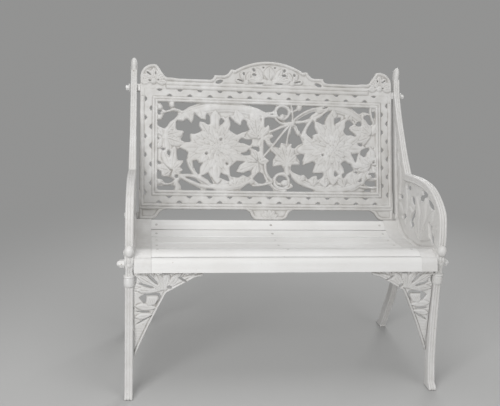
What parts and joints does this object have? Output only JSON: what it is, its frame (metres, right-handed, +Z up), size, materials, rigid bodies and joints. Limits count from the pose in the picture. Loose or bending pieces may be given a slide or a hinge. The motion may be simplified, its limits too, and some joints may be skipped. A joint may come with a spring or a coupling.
{
  "type": "garden seat",
  "caption": "Painted cast-iron garden seat with pierced foliage back, scrolled leaf arms, sabre legs and a dished slatted seat.",
  "frame": {"origin": "on the floor under the middle of the seat's outer box", "axes": "+X to the right of someone looking at the front, +Y to the back, +Z up"},
  "size_m": [1.086, 0.6596, 1.0348],
  "materials": {
    "painted_iron": "old gloss paint in many coats over cast iron, lightly soiled in the recesses",
    "painted_wood": "old gloss paint over softwood slats, worn along the edges",
    "painted_fastener": "painted over with the seat"
  },
  "bodies": {
    "root": {"back_panel": "painted_iron", "front_seat_rail": "painted_wood", "front_tie_rod": "painted_fastener", "left_bearer_bolts": "painted_fastener", "left_bracket_screws": "painted_fastener", "left_end_frame": "painted_iron", "left_leaf_bracket": "painted_iron", "left_lower_back_bolt": "painted_fastener", "left_lower_back_washer": "painted_fastener", "left_rod_nut": "painted_fastener", "left_rod_washer": "painted_fastener", "left_seat_bearer": "painted_iron", "left_slat_screws": "painted_fastener", "left_upper_back_bolt": "painted_fastener", "left_upper_back_washer": "painted_fastener", "middle_seat_bearer": "painted_iron", "middle_slat_screws": "painted_fastener", "right_bearer_bolts": "painted_fastener", "right_bracket_screws": "painted_fastener", "right_end_frame": "painted_iron", "right_leaf_bracket": "painted_iron", "right_lower_back_bolt": "painted_fastener", "right_lower_back_washer": "painted_fastener", "right_rod_nut": "painted_fastener", "right_rod_washer": "painted_fastener", "right_seat_bearer": "painted_iron", "right_slat_screws": "painted_fastener", "right_upper_back_bolt": "painted_fastener", "right_upper_back_washer": "painted_fastener", "seat_slat_1": "painted_wood", "seat_slat_2": "painted_wood", "seat_slat_3": "painted_wood", "seat_slat_4": "painted_wood", "seat_slat_5": "painted_wood", "seat_slat_6": "painted_wood"}
  },
  "joints": []
}
